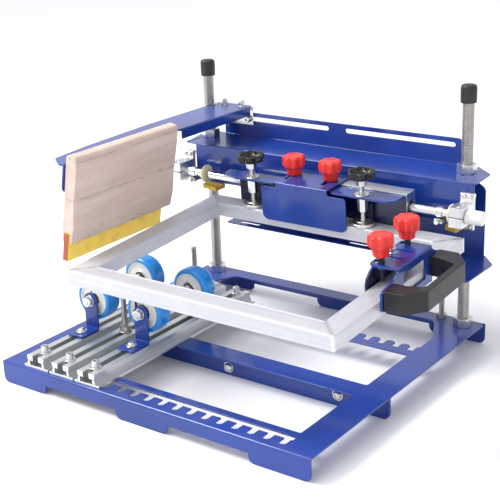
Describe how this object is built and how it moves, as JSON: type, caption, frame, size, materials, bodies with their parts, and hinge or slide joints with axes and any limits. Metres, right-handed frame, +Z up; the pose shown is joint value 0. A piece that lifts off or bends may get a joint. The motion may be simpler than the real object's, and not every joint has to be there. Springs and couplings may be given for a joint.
{
  "type": "tabletop cylinder screen printing press",
  "caption": "Hand operated bench press that screen prints round objects: slotted base with wheel stands, posts with a height-set head, sliding tilting screen frame and a squeegee arm.",
  "frame": {"origin": "centre of the bounding box in X and Y, on the table surface under the feet", "axes": "+X to the handle side along the guide shaft, +Y from the operator's side to the posts, +Z up"},
  "size_m": [0.564, 0.4704, 0.3742],
  "materials": {
    "blue_paint": "gloss",
    "aluminium": "brushed",
    "steel": "satin",
    "zinc": "bright zinc",
    "black_plastic": "satin",
    "red_plastic": "gloss",
    "white_plastic": "satin",
    "blue_tyre": "satin",
    "pale_rubber": "matte",
    "yellow_blade": "satin",
    "wood": "lacquered"
  },
  "bodies": {
    "base": {"base_front_frame": "blue_paint", "base_rear_frame": "blue_paint", "base_fasteners": "zinc", "rail_left": "aluminium", "rail_middle": "aluminium", "rail_right": "aluminium", "threaded_posts": "steel", "post_caps": "black_plastic", "post_base_nuts": "zinc", "stop_stud": "zinc"},
    "stud_front": {"rail_stud_front": "zinc"},
    "stud_rear": {"rail_stud_rear": "zinc"},
    "stand_front_left": {"bracket_front_left": "blue_paint", "fasteners_front_left": "zinc"},
    "stand_front_right": {"bracket_front_right": "blue_paint", "fasteners_front_right": "zinc"},
    "stand_rear_left": {"bracket_rear_left": "blue_paint", "fasteners_rear_left": "zinc"},
    "stand_rear_right": {"bracket_rear_right": "blue_paint", "fasteners_rear_right": "zinc"},
    "wheel_front_left": {"tyre_front_left": "blue_tyre", "hub_front_left": "white_plastic"},
    "wheel_front_right": {"tyre_front_right": "blue_tyre", "hub_front_right": "white_plastic"},
    "wheel_rear_left": {"tyre_rear_left": "blue_tyre", "hub_rear_left": "white_plastic"},
    "wheel_rear_right": {"tyre_rear_right": "blue_tyre", "hub_rear_right": "white_plastic"},
    "head": {"head_upper_bracket": "blue_paint", "head_lower_bracket": "blue_paint", "head_post_nuts": "zinc", "guide_shaft": "zinc", "shaft_supports": "aluminium", "head_bolts": "zinc", "shaft_sleeve": "white_plastic", "rubber_bumpers": "pale_rubber", "hose_clamps": "zinc"},
    "slider": {"linear_bearings": "steel"},
    "carriage": {"bearing_block": "aluminium", "clamp_channel": "blue_paint", "screen_frame": "aluminium", "carriage_fasteners": "zinc"},
    "clamp_left": {"clamp_foot_left": "steel"},
    "clamp_right": {"clamp_foot_right": "steel"},
    "screw_left": {"clamp_screw_left": "black_plastic"},
    "screw_right": {"clamp_screw_right": "black_plastic"},
    "stop": {"stop_plate": "blue_paint"},
    "knob_stop_left": {"stop_knob_left": "red_plastic"},
    "knob_stop_right": {"stop_knob_right": "red_plastic"},
    "side_clamp": {"side_bracket": "blue_paint", "handle": "black_plastic", "side_clamp_bolts": "zinc"},
    "jaw": {"side_jaw": "blue_paint"},
    "knob_side_front": {"side_knob_front": "red_plastic"},
    "knob_side_rear": {"side_knob_rear": "red_plastic"},
    "squeegee": {"squeegee_arm": "blue_paint", "arm_angle_bracket": "steel", "arm_bolts": "zinc", "squeegee_board": "wood", "squeegee_blade": "yellow_blade"}
  },
  "joints": [
    {"name": "head_height", "type": "slide", "parent": "base", "child": "head", "axis": [0, 0, 1], "range_m": [-0.02, 0.045]},
    {"name": "carriage_slide", "type": "slide", "parent": "head", "child": "slider", "axis": [1, 0, 0], "range_m": [-0.022, 0.034]},
    {"name": "screen_tilt", "type": "hinge", "parent": "slider", "child": "carriage", "pos_m": [0.01, 0.12475, 0.217], "axis": [-1, 0, 0], "range_deg": [0, 15]},
    {"name": "clamp_lift_left", "type": "slide", "parent": "carriage", "child": "clamp_left", "axis": [0, -0.0628, 0.998], "range_m": [0, 0.005]},
    {"name": "clamp_lift_right", "type": "slide", "parent": "carriage", "child": "clamp_right", "axis": [0, -0.0628, 0.998], "range_m": [0, 0.005]},
    {"name": "clamp_turn_left", "type": "hinge", "parent": "clamp_left", "child": "screw_left", "pos_m": [-0.0905, 0.09351, 0.21504], "axis": [0, -0.0628, 0.998], "range_deg": [0, 1441]},
    {"name": "clamp_turn_right", "type": "hinge", "parent": "clamp_right", "child": "screw_right", "pos_m": [0.0905, 0.09351, 0.21504], "axis": [0, -0.0628, 0.998], "range_deg": [0, 1441]},
    {"name": "stop_slide", "type": "slide", "parent": "carriage", "child": "stop", "axis": [0, 0.998, 0.0628], "range_m": [-0.011, 0]},
    {"name": "stop_turn_left", "type": "hinge", "parent": "carriage", "child": "knob_stop_left", "pos_m": [-0.033, 0.11677, 0.2165], "axis": [0, -0.0628, 0.998], "range_deg": [0, 360]},
    {"name": "stop_turn_right", "type": "hinge", "parent": "carriage", "child": "knob_stop_right", "pos_m": [0.027, 0.11677, 0.2165], "axis": [0, -0.0628, 0.998], "range_deg": [0, 360]},
    {"name": "side_clamp_slide", "type": "slide", "parent": "carriage", "child": "side_clamp", "axis": [0, 0.998, 0.0628], "range_m": [-0.08, 0.05]},
    {"name": "jaw_slide", "type": "slide", "parent": "side_clamp", "child": "jaw", "axis": [1, 0, 0], "range_m": [-0.005, 0]},
    {"name": "side_turn_front", "type": "hinge", "parent": "jaw", "child": "knob_side_front", "pos_m": [0.206, -0.05689, 0.20557], "axis": [0, -0.0628, 0.998], "range_deg": [0, 360]},
    {"name": "side_turn_rear", "type": "hinge", "parent": "jaw", "child": "knob_side_rear", "pos_m": [0.206, 0.00698, 0.20959], "axis": [0, -0.0628, 0.998], "range_deg": [0, 360]},
    {"name": "arm_slide", "type": "slide", "parent": "head", "child": "squeegee", "axis": [1, 0, 0], "range_m": [0, 0.016]},
    {"name": "stand_slide_front_left", "type": "slide", "parent": "base", "child": "stand_front_left", "axis": [0, 1, 0], "range_m": [-0.04, 0.03]},
    {"name": "stand_slide_front_right", "type": "slide", "parent": "base", "child": "stand_front_right", "axis": [0, 1, 0], "range_m": [-0.04, 0.03]},
    {"name": "stand_slide_rear_left", "type": "slide", "parent": "base", "child": "stand_rear_left", "axis": [0, 1, 0], "range_m": [-0.04, 0.033]},
    {"name": "stand_slide_rear_right", "type": "slide", "parent": "base", "child": "stand_rear_right", "axis": [0, 1, 0], "range_m": [-0.04, 0.033]},
    {"name": "stud_slide_front", "type": "slide", "parent": "base", "child": "stud_front", "axis": [0, 1, 0], "range_m": [-0.05, 0.05]},
    {"name": "stud_slide_rear", "type": "slide", "parent": "base", "child": "stud_rear", "axis": [0, 1, 0], "range_m": [-0.05, 0.018]},
    {"name": "spin_front_left", "type": "hinge", "parent": "stand_front_left", "child": "wheel_front_left", "pos_m": [-0.2215, -0.10175, 0.091], "axis": [0, 1, 0], "continuous": true},
    {"name": "spin_front_right", "type": "hinge", "parent": "stand_front_right", "child": "wheel_front_right", "pos_m": [-0.1295, -0.10175, 0.091], "axis": [0, 1, 0], "continuous": true},
    {"name": "spin_rear_left", "type": "hinge", "parent": "stand_rear_left", "child": "wheel_rear_left", "pos_m": [-0.2215, -0.00375, 0.091], "axis": [0, 1, 0], "continuous": true},
    {"name": "spin_rear_right", "type": "hinge", "parent": "stand_rear_right", "child": "wheel_rear_right", "pos_m": [-0.1295, -0.00375, 0.091], "axis": [0, 1, 0], "continuous": true}
  ],
  "couplings": [
    {"joint": "clamp_turn_left", "follows": "clamp_lift_left", "rad_per_m": 5026.5},
    {"joint": "clamp_turn_right", "follows": "clamp_lift_right", "rad_per_m": 5026.5}
  ]
}
